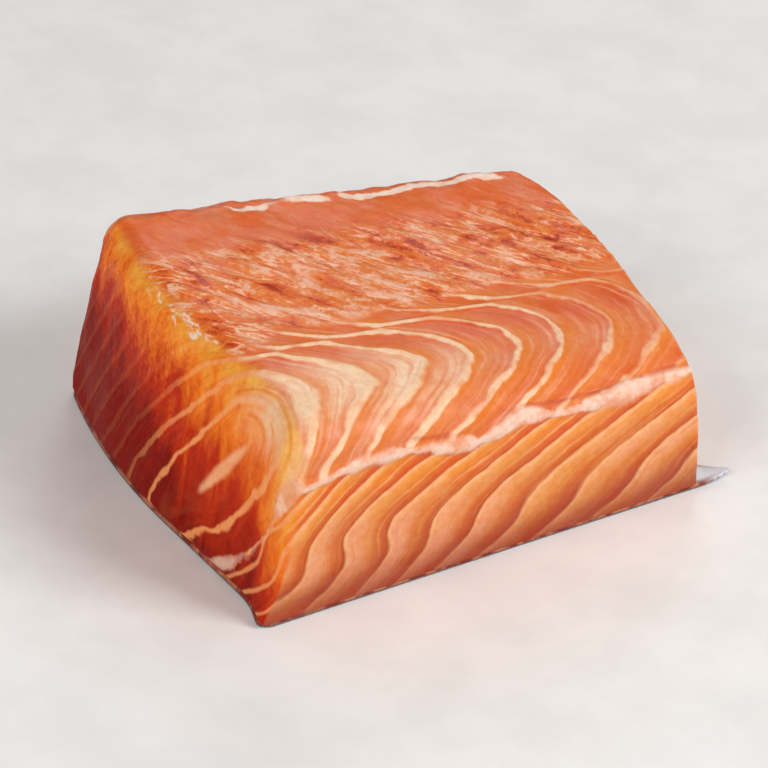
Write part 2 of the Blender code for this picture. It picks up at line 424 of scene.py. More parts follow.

# how warm the thick cut is at each spot: an amber painted glow along its top edge, deep red with
# painted shade at the far foot and rear
blotch = roughness3(smoothBlock, (6.0, 3.0, 8.0), 121)
cutTintGlowAndShade = 0.86 * upShare + 0.24 * smoothStep(13.0, 1.0, y)
cutTintGlowAndShade += 0.06 * around(y, 18.0, 11.0) * around(z, 15.0, 11.0)
cutTintGlowAndShade -= 0.3 * smoothStep(24.0, 44.0, y) * smoothStep(34.0, 14.0, z)
cutTintGlowAndShade += 0.14 * blotch - 0.1 * smoothStep(44.0, 58.0, y)
# white flecks where the thick cut meets the top, and a bright line along the far rim: pale fat
# with a painted highlight
edgeSpot = around(x - thickEnd(y, z), 1.5, 1.6) * smoothStep(27.5, 30.5, z)
edgeSpot *= smoothStep(23.0, 28.0, y) * smoothStep(52.0, 46.0, y)
rimPlace = y - (depthAt(alongShare) - 4.9) - 1.3 * roughness3(smoothBlock, (4.0, 40.0, 40.0), 151)
rimWidth = 1.25 + 0.55 * roughness3(smoothBlock, (7.0, 60.0, 60.0), 171)
rimFatAndHighlight = around(rimPlace, 0.0, rimWidth) * smoothStep(0.1, 0.4, nz)
rimFatAndHighlight *= smoothStep(24.0, 32.0, x) * smoothStep(82.0, 76.0, x)
rimFatAndHighlight *= smoothStep(-0.7, -0.2, roughness3(smoothBlock, (9.0, 60.0, 60.0), 161))
# paler on the thick cut near its top and its front edge: pale fat with a painted sheen, and the
# front's flake colours at that edge
cutPaleAndSheen = around(y, 8.0, 6.5) * smoothStep(21.0, 31.0, z)
cutPaleAndSheen = np.maximum(cutPaleAndSheen, 0.75 * smoothStep(5.0, 0.0, y) * smoothStep(9.0, 20.0, z))

# the ragged rear half of the top, where the flakes were pulled apart
streakPoint = np.stack([0.83 * y - 0.56 * x, 0.83 * x + 0.56 * y, 0.6 * z], axis=1)
tornEdge = y - (21.9 + 0.05 * x) + 2.7 * roughness3(smoothBlock, 8.0, 41)
torn = smoothStep(-1.0, 3.0, tornEdge) * smoothStep(-0.1, 0.35, nz)
ragged = torn * (1.0 - 0.72 * smoothStep(43.0, 56.0, y + 0.06 * x)) * topSide
streaks = roughness3(streakPoint, (9.0, 1.5, 3.0), 51)
tornLight = 0.07 * around(x, 31.0, 17.0) * around(y, 33.0, 10.0) - 0.02
streakRidge = 1.0 - np.abs(roughness3(streakPoint, (11.0, 2.4, 4.0), 61))

# relief of each zone, along the surface's own normal
pastLower = lower - np.floor(lower)
pastUpper = upper - np.floor(upper)
flake = smoothStep(0.0, 0.14, pastLower) * (1.0 - 0.85 * pastLower)
fromUpperLine = np.minimum(pastUpper, 1.0 - pastUpper) / upperSteep
hook = around(fromUpperLine, 0.0, 0.55)
hookStep = 0.5 - pastUpper
ridge = np.minimum(seamBody, 1.1) * around(gap, 0.0, 0.6 + 0.7 * seamBody)
groove = around(gap, 2.1, 1.0)
height = np.zeros(len(smoothBlock))
height += (1 - isUpper) * relief["flakeStep"] * (flake - 0.5) * (1.0 - 0.75 * cutEnd)
onHooks = isUpper * (1.0 - 0.8 * cutEnd) * (1.0 - torn)
height += relief["hookRidge"] * (hook + 0.5 * hookStep) * onHooks
onFront = np.maximum(frontSide, 0.15) * (1.0 - 0.8 * cutEnd)
raggedRidge = 0.75 + 0.5 * roughness3(smoothBlock, (2.2, 2.2, 1.5), 71)
height += ridge * relief["seamRidge"] * raggedRidge * onFront
height -= groove * relief["seamGroove"] * onFront
height += ragged * relief["tornDepth"] * (0.6 * streaks + 0.5 * (streakRidge - 0.6))
height += relief["softWaves"] * roughness3(smoothBlock, 14.0, 81)
rim = around(y - depthAt(roundAlong), -3.0, 3.5) * smoothStep(0.0, 0.4, nz)
height += rim * relief["rimLumps"] * roughness3(smoothBlock, (5.0, 3.0, 3.0), 91)
height += cutEnd * relief["cutLine"] * np.where(isUpper > 0.5, hook, flake)
height *= smoothStep(0.0, 3.0, z - block["baseHeight"])
surface = smoothBlock + normals * height[:, None]
surface[:, 2] = np.maximum(surface[:, 2], block["baseHeight"])
print("stage 2: flesh shaped,", len(surface), "points")


def toFrame(points):
    # millimetres from the block's front corner at the thick end, turned into the frame's metres
    corner = np.array([skinHigh.x - block["looseTip"] / perMetre, skinLow.y, 0.0])
    return corner + points / perMetre


def makeMesh(name, points, faces, extraFaces=()):
    mesh = bpy.data.meshes.new(name)
    everyFace = [list(map(int, face)) for face in faces] + [list(face) for face in extraFaces]
    mesh.from_pydata([tuple(point) for point in points], [], everyFace)
    mesh.update()
    mesh.polygons.foreach_set("use_smooth", [True] * len(mesh.polygons))
    piece = bpy.data.objects.new(name, mesh)
    bpy.context.scene.collection.objects.link(piece)
    return piece


def addValues(piece, values):
    for name, numbers in values.items():
        attribute = piece.data.attributes.new(name, "FLOAT", "POINT")
        attribute.data.foreach_set("value", np.asarray(numbers, np.float32))


flesh = makeMesh("salmonFlesh", toFrame(surface), gridFaces, baseFaces)
fleshValues = {
    "upperSheets": upper,
    "lowerSheets": lower,
    "upperSteep": upperSteep,
    "lowerSteep": lowerSteep,
    "seamGap": gap,
    "thickCut": thickCut,
    "topSide": topSide,
    "torn": torn,
    "ragged": ragged,
    "deepStreak": deepStreak,
    "paleFatAndSheen": paleFatAndSheen,
    "rearFade": rearFade,
    "lineFade": lineFade,
    "warmBack": warmBack,
    "seamBody": seamBody,
    "cutTintGlowAndShade": cutTintGlowAndShade,
    "cutPaleAndSheen": cutPaleAndSheen,
    "edgeSpot": edgeSpot,
    "rimFatAndHighlight": rimFatAndHighlight,
    "streaks": streaks,
    "tornLight": tornLight,
    "upward": z / block["thickEndHeight"],
}
addValues(flesh, fleshValues)
print("stage 3: flesh piece made")

# The skin under the flesh: one millimetre thick, with a corner left sticking out in front.
skinSheet = {
    "thickness": 1.0,
    "cornerRadius": 2.0,
    "margin": 1.1,
    "marginRun": 24.0,
    "flapReach": 5.2,
    "flapFalloff": 3.4,
    "flapTaper": 1.4,
    "flapLift": 0.9,
    "flapCurl": 1.5,
    "flapCornerRound": 0.12,  # a share of cornerRadius: the loose corner stays pointed
    "rimInset": 0.22,
    "wrinkle": 0.06,
    "cells": (150, 110),
}


def skinPoint(u, v, height):
    # u runs along from -1 to 1 and v across from -1 to 1; height is 0 below and 1 above
    halfLength, halfDepth = block["length"] / 2, block["thickEndDepth"] / 2
    cornerU = skinSheet["cornerRadius"] / halfLength
    cornerV = skinSheet["cornerRadius"] / halfDepth
    a = np.clip((np.abs(u) - 1 + cornerU) / cornerU, 0, 1)
    b = np.clip((np.abs(v) - 1 + cornerV) / cornerV, 0, 1)
    inset = 1.0 - roundShare(a, b)
    inset *= np.where((u > 0) & (v < 0), skinSheet["flapCornerRound"], 1.0)
    u = u - np.sign(u) * a * inset * cornerU
    v = v - np.sign(v) * b * inset * cornerV
    along = (u + 1) / 2
    y = depthAt(along) * (v + 1) / 2
    edge = thinEnd(y, 0.0) + skinSheet["margin"] * smoothStep(
        0.0, skinSheet["marginRun"], block["thinEndDepth"] - y
    )
    flap = skinSheet["flapReach"] * np.exp(
        -((np.maximum(y, 0) / skinSheet["flapFalloff"]) ** skinSheet["flapTaper"])
    )
    x = mix(thickEnd(y, 0.0), edge + flap, along)
    past = np.clip(x - edge, 0.0, None) / skinSheet["flapReach"]
    lift = skinSheet["flapLift"] * past ** skinSheet["flapCurl"]
    return np.stack([x, y, height * skinSheet["thickness"] + lift], axis=1)


nu, nv = skinSheet["cells"]


def crowdedAtEdges(count):
    # places from -1 to 1, closer together near both ends
    return np.sin(np.linspace(-0.41, 0.41, count + 1) * math.pi) / math.sin(0.41 * math.pi)


gridU, gridV = np.meshgrid(crowdedAtEdges(nu), crowdedAtEdges(nv), indexing="ij")
gridU, gridV = gridU.ravel(), gridV.ravel()
gridCount = len(gridU)
lowerSide = skinPoint(gridU, gridV, 0.0)
upperSide = skinPoint(gridU, gridV, 1.0)
numbers = np.arange((nu + 1) * (nv + 1)).reshape(nu + 1, nv + 1)
tops = np.stack([numbers[:-1, :-1], numbers[1:, :-1], numbers[1:, 1:], numbers[:-1, 1:]], -1)
tops = tops.reshape(-1, 4)
bottoms = tops[:, ::-1] + gridCount
edgeLoop = np.concatenate([
    numbers[:-1, 0], numbers[-1, :-1], numbers[:0:-1, -1], numbers[0, :0:-1]
])
midRim = 2 * gridCount + np.arange(len(edgeLoop))
nextLoop, nextRim = np.roll(edgeLoop, -1), np.roll(midRim, -1)
rimUpper = np.stack([midRim, nextRim, nextLoop, edgeLoop], -1)
rimLower = np.stack([edgeLoop + gridCount, nextLoop + gridCount, nextRim, midRim], -1)
middle = 0.5 * (lowerSide[edgeLoop] + upperSide[edgeLoop])
centre = np.array([block["length"] / 2, block["thickEndDepth"] / 2])
for sheetSide in (upperSide, lowerSide):
    # the rim is drawn in above and below, so that its edge comes out round
    toCentre = centre - sheetSide[edgeLoop, :2]
    toCentre /= np.linalg.norm(toCentre, axis=1)[:, None]
    sheetSide[edgeLoop, :2] += skinSheet["rimInset"] * toCentre
skinPoints = np.concatenate([upperSide, lowerSide, middle])
wrinkle = roughness3(skinPoints, (6.0, 6.0, 50.0), 131)
wrinkle += 0.5 * roughness3(skinPoints, (2.0, 2.0, 50.0), 141)
isTop = np.repeat([1.0, 0.0, 0.5], [gridCount, gridCount, len(edgeLoop)])
nearEdge = np.maximum(smoothStep(0.97, 1, np.abs(gridU)), smoothStep(0.965, 1, np.abs(gridV)))
onRim = np.ones(len(edgeLoop))
atEdge = np.concatenate([nearEdge, nearEdge, onRim])
skinPoints[:, 2] += skinSheet["wrinkle"] * wrinkle * atEdge * (isTop > 0.25)
skinPoints[:, 2] = np.maximum(skinPoints[:, 2], 0.0)
skinFaces = np.concatenate([tops, bottoms, rimUpper, rimLower])
skin = makeMesh("salmonSkin", toFrame(skinPoints), skinFaces)
# the cut edge shows the flesh's colours darkened as painted shade, less so underneath and not on
# the loose corner
cutEdge = np.concatenate([nearEdge, 0.5 * nearEdge, onRim])
cutEdge *= smoothStep(1.05, 0.99, skinPoints[:, 0] / thinEnd(skinPoints[:, 1], 0.0) - 0.012)
addValues(skin, {
    "cutEdge": cutEdge,
    "innerSide": isTop,
    "across": skinPoints[:, 1] / block["thickEndDepth"],
})
print("stage 4: skin piece made")


def tint(red, green, blue):
    # a colour picked on a 0 to 255 scale, turned into the shader's linear values
    linear = []
    for value in (red, green, blue):
        share = value / 255.0
        linear.append(share / 12.92 if share <= 0.04045 else ((share + 0.055) / 1.055) ** 2.4)
    return (*linear, 1.0)


class Tree:
    # adds nodes to a node tree and links whatever it is given: a socket, a number or a colour

    def __init__(self, tree):
        self.tree = tree
        self.count = 0

    def put(self, socket, value):
        if isinstance(value, bpy.types.NodeSocket):
            self.tree.links.new(value, socket)
        elif value is not None:
            socket.default_value = value

    def node(self, kind, **settings):
        made = self.tree.nodes.new(kind)
        made.location = (220 * (self.count % 14), -190 * (self.count // 14))
        self.count += 1
        for name, value in settings.items():
            setattr(made, name, value)
        return made

    def attribute(self, name):
        return self.node("ShaderNodeAttribute", attribute_name=name).outputs["Fac"]

    def maths(self, operation, first, second=None):
        made = self.node("ShaderNodeMath", operation=operation)
        self.put(made.inputs[0], first)
        self.put(made.inputs[1], second)
        return made.outputs[0]

    def plus(self, first, *others):
        for other in others:
            first = self.maths("ADD", first, other)
        return first

    def minus(self, first, second):
        return self.maths("SUBTRACT", first, second)

    def times(self, first, *others):
        for other in others:
            first = self.maths("MULTIPLY", first, other)
        return first

    def away(self, value, middle):
        # how far a value is from the middle, whichever way
        return self.maths("ABSOLUTE", self.minus(value, middle))

    def step(self, value, start, end, low=0.0, high=1.0):
        made = self.node("ShaderNodeMapRange", interpolation_type="SMOOTHSTEP")
        for socket, number in zip(made.inputs, (value, start, end, low, high)):
            self.put(socket, number)
        return made.outputs[0]

    def colourMix(self, share, first, second, blend="MIX"):
        made = self.node("ShaderNodeMix", data_type="RGBA", blend_type=blend)
        self.put(made.inputs[0], share)
        self.put(made.inputs[6], first)
        self.put(made.inputs[7], second)
        return made.outputs[2]

    def layered(self, colour, *layers):
        # lays colours over the first one, each by its own share
        for share, shade in layers:
            colour = self.colourMix(share, colour, shade)
        return colour

    def ramp(self, value, stops):
        made = self.node("ShaderNodeValToRGB")
        elements = made.color_ramp.elements
        while len(elements) < len(stops):
            elements.new(0.5)
        for element, (place, shade) in zip(elements, stops):
            element.position = place
            element.color = shade
        self.put(made.inputs[0], value)
        return made.outputs[0]

    def stretch(self, vector, scale, turn=(0.0, 0.0, 0.0)):
        made = self.node("ShaderNodeMapping")
        self.put(made.inputs["Vector"], vector)
        made.inputs["Scale"].default_value = scale
        made.inputs["Rotation"].default_value = turn
        return made.outputs[0]

    def noise(self, vector, scale, detail=2.0, rough=0.5, distortion=0.0):
        made = self.node("ShaderNodeTexNoise")
        self.put(made.inputs["Vector"], vector)
        self.put(made.inputs["Scale"], scale)
        made.inputs["Detail"].default_value = detail
        made.inputs["Roughness"].default_value = rough
        made.inputs["Distortion"].default_value = distortion
        return made.outputs["Fac"]

    def cells(self, vector, scale, feature="F1", output="Distance", uneven=1.0):
        made = self.node("ShaderNodeTexVoronoi", feature=feature)
        made.inputs["Randomness"].default_value = uneven
        self.put(made.inputs["Vector"], vector)
        self.put(made.inputs["Scale"], scale)
        return made.outputs[output]

    def bump(self, height, strength, distance):
        made = self.node("ShaderNodeBump")
        self.put(made.inputs["Height"], height)
        made.inputs["Strength"].default_value = strength
        made.inputs["Distance"].default_value = distance
        return made.outputs[0]

    def placed(self, group, **values):
        made = self.node("ShaderNodeGroup", node_tree=group)
        for name, value in values.items():
            self.put(made.inputs[name], value)
        return made.outputs


def startGroup(name, inputs, outputs):
    # inputs are numbers with their usual value, or a place where that is None
    group = bpy.data.node_groups.new(name, "ShaderNodeTree")
    for socketName, value in inputs.items():
        kind = "NodeSocketVector" if value is None else "NodeSocketFloat"
        socket = group.interface.new_socket(name=socketName, in_out="INPUT", socket_type=kind)
        if value is not None:
            socket.default_value = value
    for socketName in outputs:
        group.interface.new_socket(
            name=socketName, in_out="OUTPUT", socket_type="NodeSocketFloat"
        )
    tree = Tree(group)
    source = tree.node("NodeGroupInput").outputs
    target = tree.node("NodeGroupOutput").inputs
    return group, tree, source, target


def makeFatLine():
    # a thin sheet of fat seen edge on: its mask, and how far a spot is past the last sheet
    group, tree, source, target = startGroup(
        "fatLine",
        {"Sheets": 0.0, "Steepness": 0.2, "Waver": 0.0, "Width": 0.4, "Fade": 0.3},
        ("Line", "Past"),
    )
    count = tree.plus(source["Sheets"], source["Waver"])
    past = tree.maths("FRACT", count)
    nearest = tree.maths("MINIMUM", past, tree.minus(1.0, past))
    distance = tree.maths("DIVIDE", nearest, source["Steepness"])
    inner = tree.times(source["Width"], 0.5)
    outer = tree.plus(inner, source["Fade"])
    tree.put(target["Line"], tree.step(distance, inner, outer, 1.0, 0.0))
    tree.put(target["Past"], past)
    return group


def makeMoistFilm():
    # water on the surface: a mottled gloss and a faint waviness
    group, tree, source, target = startGroup(
        "moistFilm", {"Place": None, "Size": 1.0, "Gloss": 0.3}, ("Roughness", "Film", "Ripple")
    )
    broad = tree.noise(source["Place"], tree.times(source["Size"], 120.0), 3.0, 0.6)
    fine = tree.noise(source["Place"], tree.times(source["Size"], 900.0), 2.0, 0.6)
    spread = tree.step(broad, 0.35, 0.7)
    tree.put(target["Roughness"], tree.plus(source["Gloss"], tree.times(spread, 0.18)))
    tree.put(target["Film"], tree.step(broad, 0.62, 0.4, 0.25, 1.0))
    tree.put(target["Ripple"], tree.plus(tree.times(broad, 0.7), tree.times(fine, 0.3)))
    return group


def makeFibres():
    # fine threads that run one way, for muscle and for the skin's membrane
    inputs = {"Place": None, "Fineness": 1.0}
    group, tree, source, target = startGroup("fibres", inputs, ("Threads",))
    fineness = tree.times(source["Fineness"], 700.0)
    tree.put(target["Threads"], tree.noise(source["Place"], fineness, 3.0, 0.65))
    return group


def makeFlakeGrain():
    # fine streaks that run side by side with the sheets of fat
    group, tree, source, target = startGroup(
        "flakeGrain", {"Place": None, "Sheets": 0.0, "Density": 7.0}, ("Grain",)
    )
    slow = tree.node("ShaderNodeVectorMath", operation="SCALE")
    tree.put(slow.inputs[0], source["Place"])
    slow.inputs["Scale"].default_value = 75.0
    shift = tree.node("ShaderNodeCombineXYZ")
    tree.put(shift.inputs[0], tree.times(source["Sheets"], source["Density"]))
    total = tree.node("ShaderNodeVectorMath", operation="ADD")
    tree.put(total.inputs[0], slow.outputs[0])
    tree.put(total.inputs[1], shift.outputs[0])
    tree.put(target["Grain"], tree.noise(total.outputs[0], 1.0, 3.0, 0.6))
    return group


fatLine, moistFilm = makeFatLine(), makeMoistFilm()
fibres, flakeGrain = makeFibres(), makeFlakeGrain()


def newMaterial(name):
    material = bpy.data.materials.new(name)
    material.use_nodes = True
    material.node_tree.nodes.clear()
    tree = Tree(material.node_tree)
    shader = tree.node("ShaderNodeBsdfPrincipled")
    output = tree.node("ShaderNodeOutputMaterial")
    tree.put(output.inputs["Surface"], shader.outputs[0])
    return material, tree, shader.inputs


# Colours of the flesh, each as red, green and blue from 0 to 255.
fleshLook = {
    "flakeCrest": (247, 186, 130),
    "flakeUpper": (239, 166, 90),
    "flakeMiddle": (229, 140, 60),
    "flakeFoot": (214, 104, 46),
    "flakeShade": (188, 78, 40),
    "lowRedAndShade": (156, 50, 36),
    "flakeYellow": (242, 154, 62),
    "paintedSheenPink": (244, 172, 140),
    "hookBody": (234, 133, 53),
    "hookDeep": (224, 104, 34),
    "hookWarm": (218, 84, 22),
    "fat": (251, 216, 180),
    "seamFat": (250, 218, 200),
    "seamPink": (240, 176, 142),
    "creviceShade": (190, 62, 26),
    "tornBody": (230, 106, 44),
    "tornDark": (176, 46, 16),
    "tornPale": (246, 182, 150),
    "tornThread": (255, 208, 178),
    "rear": (220, 103, 34),
    "cutAmberGlow": (255, 184, 70),
    "cutOrange": (248, 128, 30),
    "cutRed": (197, 49, 9),
    "cutDarkShade": (136, 14, 2),
    "cutLine": (252, 168, 106),
    "spindle": (255, 188, 138),
    "grainDeep": (250, 228, 214),
    "grainPale": (255, 255, 255),
    "whiteFleckAndHighlight": (255, 236, 220),
    "streakTurn": 124.0,  # degrees, how the torn threads run seen from above
    "roughness": 0.4,
}


def shaderValues(look):
    # colours as the shader wants them, numbers left as they are
    return {name: tint(*own) if isinstance(own, tuple) else own for name, own in look.items()}


def fleshFields(tree):
    # everything that more than one zone of the flesh is coloured by
    place = tree.node("ShaderNodeTexCoord").outputs["Object"]
    field = {name: tree.attribute(name) for name in fleshValues}
    field["place"] = place
    field["wobble"] = tree.minus(tree.noise(place, 420.0, 3.0, 0.6), 0.5)
    field["sway"] = tree.minus(tree.noise(place, 260.0, 1.0, 0.5), 0.5)
    field["crumble"] = tree.minus(tree.noise(place, 1300.0, 3.0, 0.7), 0.5)
    field["broad"] = tree.noise(place, 70.0, 2.0, 0.5)
    field["uneven"] = tree.noise(place, 170.0, 2.0, 0.6)
    field["lowLine"] = tree.placed(
        fatLine, Sheets=field["lowerSheets"], Steepness=field["lowerSteep"],
        Waver=tree.times(field["sway"], 0.16),
        Width=tree.step(field["wobble"], -0.15, 0.15, 0.06, 0.28), Fade=0.45,
    )
    # a second, fainter line halfway between two sheets
    field["halfLine"] = tree.placed(
        fatLine, Sheets=tree.plus(field["lowerSheets"], 0.47), Steepness=field["lowerSteep"],
        Waver=tree.times(field["sway"], 0.24), Width=0.08, Fade=0.35,
    )
    upWidth = tree.times(
        tree.step(field["wobble"], -0.15, 0.15, 0.2, 0.5),
        tree.step(field["uneven"], 0.35, 0.65, 0.25, 1.5),
    )
    field["upLine"] = tree.placed(
        fatLine, Sheets=field["upperSheets"], Steepness=field["upperSteep"],
        Waver=tree.times(field["sway"], 0.22),
        Width=tree.plus(tree.times(field["paleFatAndSheen"], 0.7), upWidth),
        Fade=tree.plus(0.45, tree.times(field["paleFatAndSheen"], 0.5)),
    )
    field["upGrain"] = tree.placed(
        flakeGrain, Place=place, Sheets=field["upperSheets"], Density=6.5
    )["Grain"]
    field["lowGrain"] = tree.placed(
        flakeGrain, Place=place, Sheets=field["lowerSheets"], Density=9.0
    )["Grain"]
    return field


def lowerFlakes(tree, look, field):
    # below the seam: pale at the crest, then orange, then darker before the next crest as painted
    # shade of each flake's step
    past, gap, grain = field["lowLine"]["Past"], field["seamGap"], field["lowGrain"]
    broad = field["broad"]
    colour = tree.ramp(past, [
        (0.0, look["flakeCrest"]),
        (0.12, look["flakeUpper"]),
        (0.45, look["flakeMiddle"]),
        (0.8, look["flakeFoot"]),
        (0.98, look["flakeShade"]),
    ])
    nearSeam = tree.times(tree.step(gap, -9.0, -2.0), tree.step(broad, 0.3, 0.7, 0.2, 0.7))
    colour = tree.colourMix(nearSeam, colour, look["flakeYellow"], "SOFT_LIGHT")
    # a painted pinkish sheen on the pale side of each flake
    sheen = tree.times(
        tree.step(past, 0.75, 0.1),
        tree.step(broad, 0.62, 0.4, 0.1, 0.75),
        tree.step(gap, -4.0, -11.0),
    )
    halfShow = tree.times(
        field["halfLine"]["Line"],
        tree.step(gap, -12.0, -2.0, 0.0, 0.8), tree.step(broad, 0.4, 0.6, 0.3, 1.0),
    )
    # redder towards the base: redder flesh near the skin, with painted shade at the foot
    foot = tree.step(tree.plus(field["upward"], tree.times(past, -0.1)), 0.30, -0.02, 0.0, 0.75)
    return tree.layered(
        colour,
        (sheen, look["paintedSheenPink"]),
        (tree.step(grain, 0.5, 0.72, 0.0, 0.5), look["flakeUpper"]),
        (tree.step(grain, 0.46, 0.26, 0.0, 0.5), look["flakeFoot"]),
        (halfShow, look["flakeCrest"]),
        (field["lowLine"]["Line"], look["flakeCrest"]),
        (foot, look["lowRedAndShade"]),
    )


def upperFlakes(tree, look, field):
    # above the seam and over the top, up to where the flesh is torn
    past, grain = field["upLine"]["Past"], field["upGrain"]
    warm = tree.times(field["warmBack"], tree.step(past, 0.1, 0.6, 0.2, 0.9))
    # pale fat with a painted sheen over the bends of the hooks
    fatAndSheen = tree.times(
        field["paleFatAndSheen"],
        tree.step(past, 0.1, 0.8, 0.1, 0.95),
        tree.step(grain, 0.3, 0.6, 0.45, 1.15),
    )
    lineShow = tree.times(
        field["upLine"]["Line"],
        tree.step(field["uneven"], 0.36, 0.56, 0.5, 0.95),
        field["lineFade"],
    )
    return tree.layered(
        look["hookBody"],
        (tree.step(past, 0.1, 0.8), look["hookDeep"]),
        (warm, look["hookWarm"]),
        (tree.step(grain, 0.5, 0.75, 0.0, 0.5), look["tornPale"]),
        (tree.maths("MINIMUM", fatAndSheen, 0.92), look["fat"]),
        (lineShow, look["fat"]),
    )


def tornTop(tree, look, field):
    # blotches, threads pulled one way, then smoother flesh at the back
    turn = (0.0, 0.0, math.radians(-look["streakTurn"]))
    turned = tree.stretch(field["place"], (1.0, 1.0, 1.0), turn)
    patches = tree.noise(tree.stretch(turned, (0.6, 1.0, 0.8)), 230.0, 5.0, 0.68, 0.5)
    pulled = tree.noise(tree.stretch(turned, (0.22, 1.0, 0.6)), 300.0, 3.0, 0.6, 0.8)
    thread = tree.step(tree.away(pulled, 0.5), 0.008, 0.03, 1.0, 0.0)
    thread = tree.times(thread, tree.step(patches, 0.42, 0.52))
    mottle = tree.plus(
        patches, tree.times(field["crumble"], 0.35), tree.times(field["streaks"], 0.06),
        field["tornLight"],
    )
    ragged = tree.ramp(mottle, [
        (0.34, look["tornDark"]),
        (0.43, look["tornBody"]),
        (0.53, look["hookBody"]),
        (0.62, look["tornPale"]),
    ])
    ragged = tree.colourMix(tree.times(thread, 0.8), ragged, look["tornThread"])
    rear = tree.colourMix(tree.step(mottle, 0.3, 0.7), look["tornBody"], look["rear"])
    return tree.colourMix(tree.step(field["ragged"], 0.1, 0.8), rear, ragged), mottle


def thickEndColours(tree, look, field, flakes):
    # the straight cut: amber with a painted glow along its top edge, red with painted shade at
    # its foot and rear
    grain, rearFade = field["upGrain"], field["rearFade"]
    upright = tree.noise(tree.stretch(field["place"], (1.0, 1.0, 0.3)), 330.0, 3.0, 0.6, 0.4)
    reach = tree.plus(
        field["cutTintGlowAndShade"],
        tree.times(tree.minus(upright, 0.5), 0.7),
        tree.times(field["crumble"], tree.step(rearFade, 0.0, 1.0, 0.15, 0.5)),
    )
    # deep red with painted shade at the low end, amber with a painted glow at the high end
    colour = tree.ramp(reach, [
        (0.05, look["cutDarkShade"]),
        (0.38, look["cutRed"]),
        (0.66, look["cutOrange"]),
        (0.95, look["cutAmberGlow"]),
    ])
    threads = tree.times(tree.step(grain, 0.5, 0.75), tree.step(reach, 0.45, 0.85, 0.06, 0.42))
    colour = tree.layered(
        colour,
        (threads, look["cutLine"]),
        (tree.step(grain, 0.48, 0.25, 0.0, 0.3), look["cutRed"]),
    )
    lineShow = tree.times(field["upLine"]["Line"], tree.minus(0.88, tree.times(rearFade, 0.8)))
    # above the seam: the lines, the pale spindle, then pale fat with a painted sheen near the top
    aboveSeam = tree.layered(
        colour,
        (lineShow, look["cutLine"]),
        (tree.times(field["deepStreak"], 0.85), look["spindle"]),
        (tree.times(field["cutPaleAndSheen"], tree.step(grain, 0.32, 0.6, 0.15, 0.75)), look["fat"]),
    )
    belowSeam = tree.layered(
        colour,
        (tree.times(field["cutPaleAndSheen"], 0.6), flakes),
        (tree.times(field["lowLine"]["Line"], 0.75), look["cutLine"]),
    )
    return aboveSeam, belowSeam


def seamParts(tree, look, field, gap):
    # painted shade in the crevice above the pale seam, the seam itself and its colour
    cut, broad, body = field["thickCut"], field["broad"], field["seamBody"]
    onSides = tree.step(field["topSide"], 0.75, 0.98, 1.0, 0.0)
    # a darker band above the seam: painted shade in the crevice
    creviceShade = tree.times(
        tree.step(tree.away(gap, 1.75), 0.1, 0.7, 0.6, 0.0),
        tree.step(broad, 0.4, 0.58, 0.1, 0.8), onSides, tree.minus(1.0, cut),
    )
    offSeam = tree.maths("DIVIDE", tree.away(gap, 0.0), tree.maths("MAXIMUM", body, 0.15))
    seam = tree.times(
        tree.step(offSeam, 0.8, 1.7, 0.92, 0.0), tree.step(body, 0.2, 0.6, 0.35, 1.0),
        tree.step(cut, 0.1, 0.7, 1.0, 0.75), onSides,
    )
    tone = tree.noise(field["place"], 310.0, 3.0, 0.55, 0.4)
    tone = tree.step(tree.plus(tone, tree.times(offSeam, -0.12)), 0.25, 0.55)
    return creviceShade, seam, tree.colourMix(tone, look["seamPink"], look["seamFat"])


